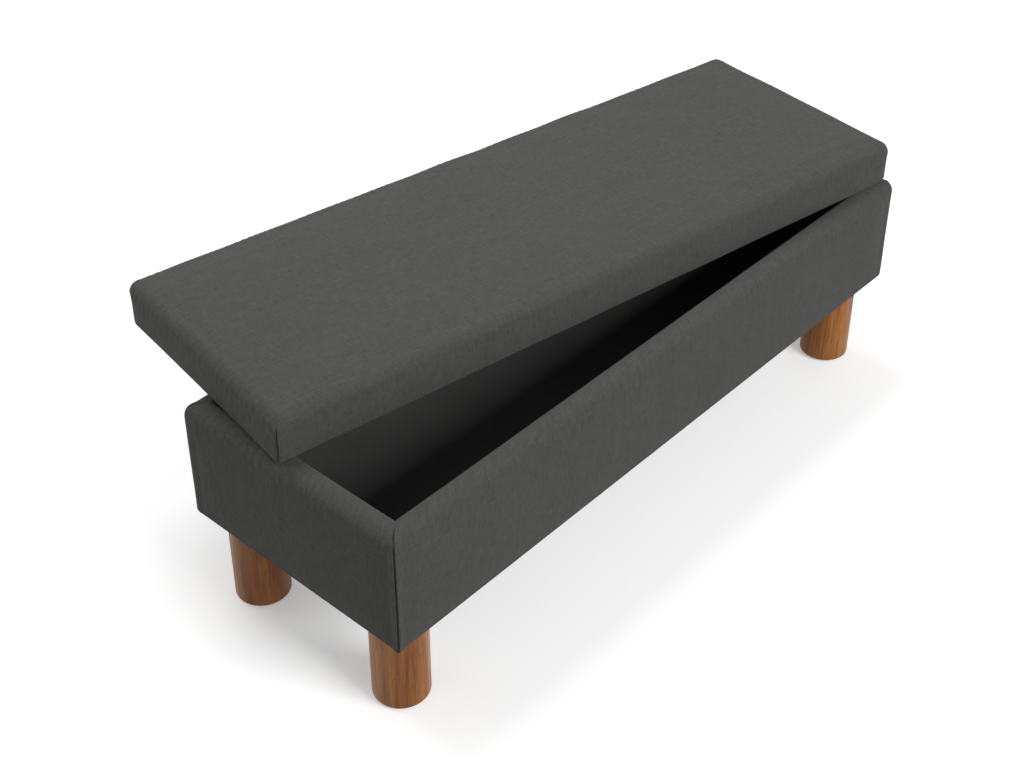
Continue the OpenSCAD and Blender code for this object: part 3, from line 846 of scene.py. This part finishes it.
def dust_cover_cloth():
    """Thin black non-woven cloth with its grid of pressed dots."""
    n = Nodes("dust_cloth")
    fibre = n.noise(n.place((1, 1, 1)), 380.0, 3.0, 0.7, 1.5)
    where = n.place((420, 420, 1), "UV", turn=(0, 0, math.radians(45)))
    dots = n.add("ShaderNodeTexVoronoi", feature="F1")
    dots.inputs["Scale"].default_value = 1.0
    dots.inputs["Randomness"].default_value = 0.0
    n.link(where, dots.inputs["Vector"])
    pressed = n.spread(dots.outputs["Distance"], 0.15, 0.45)
    color = n.colors(fibre, rgb(0.008, 0.008, 0.008), rgb(0.026, 0.026, 0.026))
    height = n.math("ADD", n.math("MULTIPLY", fibre, 0.5), pressed)
    rough = n.spread(pressed, 0, 1, 0.6, 0.92)
    return n.finish(color, rough, n.bump(height, 0.3, 0.0002), Specular_IOR_Level=0.35)


def stained_wood():
    """Mid-brown stained and satin-lacquered wood, grain upright, with darker streaks and small flecks."""
    n = Nodes("stained_leg_wood")
    sway = n.noise(n.place((9, 9, 1.6)), 1.0, 2.0, 0.5)
    grain = n.noise(n.place((150, 150, 6)), 1.0, 6.0, 0.65, 0.6)
    bands = n.noise(n.place((34, 34, 2.2), shift=(1.3, 4.1, 0.7)), 1.0, 4.0, 0.6, 1.6)
    pores = n.noise(n.place((700, 700, 30)), 1.0, 2.0, 0.6)
    fleck = n.noise(n.place((130, 130, 110), shift=(7, 3, 2)), 1.0, 1.0, 0.5)
    tone = n.total([(grain, 0.30), (bands, 0.42), (sway, 0.28)])
    light = n.colors(n.spread(tone, 0.38, 0.62), rgb(0.125, 0.037, 0.007), rgb(0.450, 0.178, 0.042))
    streak = n.spread(pores, 0.56, 0.70, 0.0, 0.55)
    color = n.colors(streak, light, rgb(0.050, 0.020, 0.009))
    color = n.colors(n.spread(fleck, 0.75, 0.80, 0.0, 0.85), color, rgb(0.028, 0.012, 0.006))
    height = n.math("ADD", n.math("MULTIPLY", grain, 0.5), n.math("MULTIPLY", pores, -0.6))
    normal = n.bump(height, 0.25, 0.0003)
    rough = n.spread(tone, 0.36, 0.64, 0.48, 0.36)
    return n.finish(color, rough, normal, Coat_Weight=0.04, Coat_Roughness=0.3, Specular_IOR_Level=0.25)


def sheet_board():
    """Plywood: pale face grain, with the plies showing in bands."""
    n = Nodes("plywood_board")
    face = n.noise(n.place((5, 90, 90)), 1.0, 5.0, 0.6, 0.4)
    plies = n.add("ShaderNodeTexWave", wave_type="BANDS", bands_direction="Z")
    n.link(n.place((1, 1, 1)), plies.inputs["Vector"])
    plies.inputs["Scale"].default_value = 90.0
    plies.inputs["Distortion"].default_value = 0.4
    tone = n.math("ADD", n.math("MULTIPLY", face, 0.75), n.math("MULTIPLY", plies.outputs["Fac"], 0.25))
    color = n.colors(n.spread(tone, 0.3, 0.75), rgb(0.33, 0.22, 0.11), rgb(0.58, 0.43, 0.25))
    return n.finish(color, 0.75, n.bump(face, 0.2, 0.0004))


def carcass_pine():
    """Planed softwood with broad growth bands."""
    n = Nodes("planed_pine")
    bands = n.noise(n.place((4, 55, 55)), 1.0, 3.0, 0.5, 1.2)
    fibre = n.noise(n.place((20, 500, 500)), 1.0, 3.0, 0.6)
    tone = n.math("ADD", n.math("MULTIPLY", bands, 0.7), n.math("MULTIPLY", fibre, 0.3))
    color = n.colors(n.spread(tone, 0.35, 0.65), rgb(0.50, 0.30, 0.13), rgb(0.72, 0.52, 0.29))
    return n.finish(color, 0.68, n.bump(fibre, 0.2, 0.0003))


def cushion_foam(name, dark, light, size):
    """Open-cell foam or wadding: fine cells and a soft mottle."""
    n = Nodes(name)
    cells = n.noise(n.place((1, 1, 1)), size, 2.0, 0.8)
    mottle = n.noise(n.place((1, 1, 1)), 12.0, 3.0, 0.5)
    tone = n.math("ADD", n.math("MULTIPLY", cells, 0.6), n.math("MULTIPLY", mottle, 0.4))
    return n.finish(n.colors(tone, dark, light), 0.95, n.bump(cells, 0.5, 0.0006))


def fastener_steel():
    """Zinc-plated steel with faint drawn lines and dull spots."""
    n = Nodes("plated_steel")
    drawn = n.noise(n.place((900, 900, 60)), 1.0, 2.0, 0.6)
    dull = n.noise(n.place((1, 1, 1)), 90.0, 3.0, 0.6)
    color = n.colors(dull, rgb(0.42, 0.43, 0.44), rgb(0.62, 0.63, 0.64))
    return n.finish(color, n.spread(dull, 0.3, 0.7, 0.28, 0.5), n.bump(drawn, 0.15, 0.0001), Metallic=1.0)


def moulded(name, dark, light, low, high):
    """Moulded plastic or rubber with a fine spark-eroded texture and scuffs."""
    n = Nodes(name)
    grain = n.noise(n.place((1, 1, 1)), 1500.0, 2.0, 0.6)
    scuff = n.noise(n.place((1, 1, 1)), 120.0, 4.0, 0.7, 1.0)
    rough = n.spread(scuff, 0.3, 0.7, low, high)
    return n.finish(n.colors(scuff, dark, light), rough, n.bump(grain, 0.25, 0.0001))


def paint_frame(cloth):
    """Gives each carried-over CAD node its material by the record's slot."""
    black, soot = rgb(0.012, 0.012, 0.012), rgb(0.03, 0.03, 0.03)
    slate, ash = rgb(0.018, 0.018, 0.018), rgb(0.045, 0.045, 0.045)
    by_slot = {
        "board": sheet_board(),
        "carcass_wood": carcass_pine(),
        "foam": cushion_foam("yellow_foam", rgb(0.50, 0.42, 0.22), rgb(0.76, 0.69, 0.45), 900.0),
        "wadding": cushion_foam("white_wadding", rgb(0.60, 0.60, 0.57), rgb(0.86, 0.86, 0.83), 420.0),
        "leg_wood": stained_wood(),
        "steel": fastener_steel(),
        "glide_plastic": moulded("glide_nylon", black, soot, 0.4, 0.65),
        "bumper_rubber": moulded("bumper_rubber", slate, ash, 0.7, 0.9),
    }
    by_slot.update(cloth)
    for part in frame["record"]["subparts"]:
        mesh = frame["nodes"][part["node"]].data
        mesh.materials.clear()
        mesh.materials.append(by_slot[part["material_slot"]])


def dress():
    """Makes every modelled piece, with its material and the body it rides on."""
    cover, lining, dust = woven_cover(), smooth_lining(), dust_cover_cloth()
    rows, t, swell = cover_swell()
    base_pieces = [(cover_panel(side, rows[side], t, swell[side]), cover) for side in range(4)]
    base_pieces += [(compartment_lining(), lining), (floor_lining(), lining)]
    base_pieces += [(dust_cloth_under_box(), dust)]
    lid_pieces = [(lid_cover(), cover), (dust_cloth_under_lid(), dust)]
    for body, pieces in (("base", base_pieces), ("lid", lid_pieces)):
        for obj, material in pieces:
            obj.data.materials.append(material)
            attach(obj, body)
    paint_frame({"cover_cloth": cover, "lining_cloth": lining, "dust_cloth": dust})


# ---------------------------------------------------------------- studio

CAMERA_AT = Vector((-1.6193, -1.3225, 1.7680))
CAMERA_YAW = math.radians(48.144)  # 0 looks along +Y
CAMERA_PITCH = math.radians(33.517)  # downwards
CAMERA_SHIFT = -0.1172  # the photograph is a crop from below the middle of its picture
CAMERA_LENS = 57.496
SENSOR = 36.0
FLOOR_SIZE = 24
# How bright the world is, by height from 0, straight down, to 1, straight up
WORLD_GLOW = ((0.42, 0.20), (0.50, 0.72), (0.78, 0.72), (0.86, 0.16))


def add_camera():
    """The photograph's view."""
    data = bpy.data.cameras.new("camera")
    data.lens = CAMERA_LENS
    data.sensor_width = SENSOR
    data.sensor_fit = "HORIZONTAL"
    data.shift_y = CAMERA_SHIFT
    data.clip_end = 100
    camera = bpy.data.objects.new("camera", data)
    bpy.context.scene.collection.objects.link(camera)
    ahead = Vector((math.sin(CAMERA_YAW), math.cos(CAMERA_YAW), 0))
    look = ahead * math.cos(CAMERA_PITCH) - Vector((0, 0, math.sin(CAMERA_PITCH)))
    right = Vector((ahead.y, -ahead.x, 0))
    axes = Matrix((right, right.cross(look), -look)).transposed()
    camera.matrix_world = Matrix.Translation(CAMERA_AT) @ axes.to_4x4()
    bpy.context.scene.camera = camera


def add_area(name, at, aim, size, power):
    """A white rectangular light at one place, aimed at another."""
    data = bpy.data.lights.new(name, "AREA")
    data.shape = "RECTANGLE"
    data.size, data.size_y = size
    data.energy = power
    lamp = bpy.data.objects.new(name, data)
    bpy.context.scene.collection.objects.link(lamp)
    lamp.location = at
    lamp.rotation_euler = (Vector(aim) - Vector(at)).to_track_quat("-Z", "Y").to_euler()


def add_world():
    """Light from all round: pale walls, a darker ceiling and a dimmer floor."""
    world = bpy.data.worlds.new("studio")
    world.use_nodes = True
    nodes, links = world.node_tree.nodes, world.node_tree.links
    direction = nodes.new("ShaderNodeTexCoord")
    split = nodes.new("ShaderNodeSeparateXYZ")
    links.new(direction.outputs["Generated"], split.inputs[0])
    glow = nodes.new("ShaderNodeValToRGB")
    for number, (place, bright) in enumerate(WORLD_GLOW):
        stop = glow.color_ramp.elements[number] if number < 2 else glow.color_ramp.elements.new(place)
        stop.position = place
        stop.color = rgb(bright, bright, bright)
    half = nodes.new("ShaderNodeMapRange")
    half.inputs["From Min"].default_value = -1.0
    links.new(split.outputs["Z"], half.inputs["Value"])
    links.new(half.outputs["Result"], glow.inputs["Fac"])
    links.new(glow.outputs["Color"], nodes["Background"].inputs["Color"])
    bpy.context.scene.world = world


def add_floor():
    """A plain white floor that stays white where the camera looks."""
    bpy.ops.mesh.primitive_plane_add(size=FLOOR_SIZE)
    floor = bpy.context.active_object
    floor.name = "studio_floor"
    n = Nodes("pale_floor")
    mottle = n.noise(n.place((1, 1, 1)), 2.0, 2.0, 0.5)
    pale = n.colors(mottle, rgb(0.86, 0.86, 0.86), rgb(0.88, 0.88, 0.88))
    floor.data.materials.append(n.finish(pale, 0.8, Emission_Color=rgb(1, 1, 1), Emission_Strength=0.30))
    floor.visible_diffuse = False  # its glare would wash out the shaded sides of the legs and the box


def add_studio():
    """The world, three soft lights and the floor."""
    add_world()
    add_area("top_light", at=(0.0, 1.3, 3.2), aim=(0.0, 0.1, 0.3), size=(2.6, 1.6), power=60)
    add_area("key_light", at=(0.25, -4.2, 3.0), aim=(0.0, 0.0, 0.3), size=(2.6, 1.2), power=180)
    add_area("edge_light", at=(-2.0, 2.4, 1.2), aim=(0.0, 0.0, 0.2), size=(1.2, 1.6), power=8)
    add_floor()
    bpy.context.scene.view_settings.view_transform = "Standard"


add_camera()
add_studio()
dress()
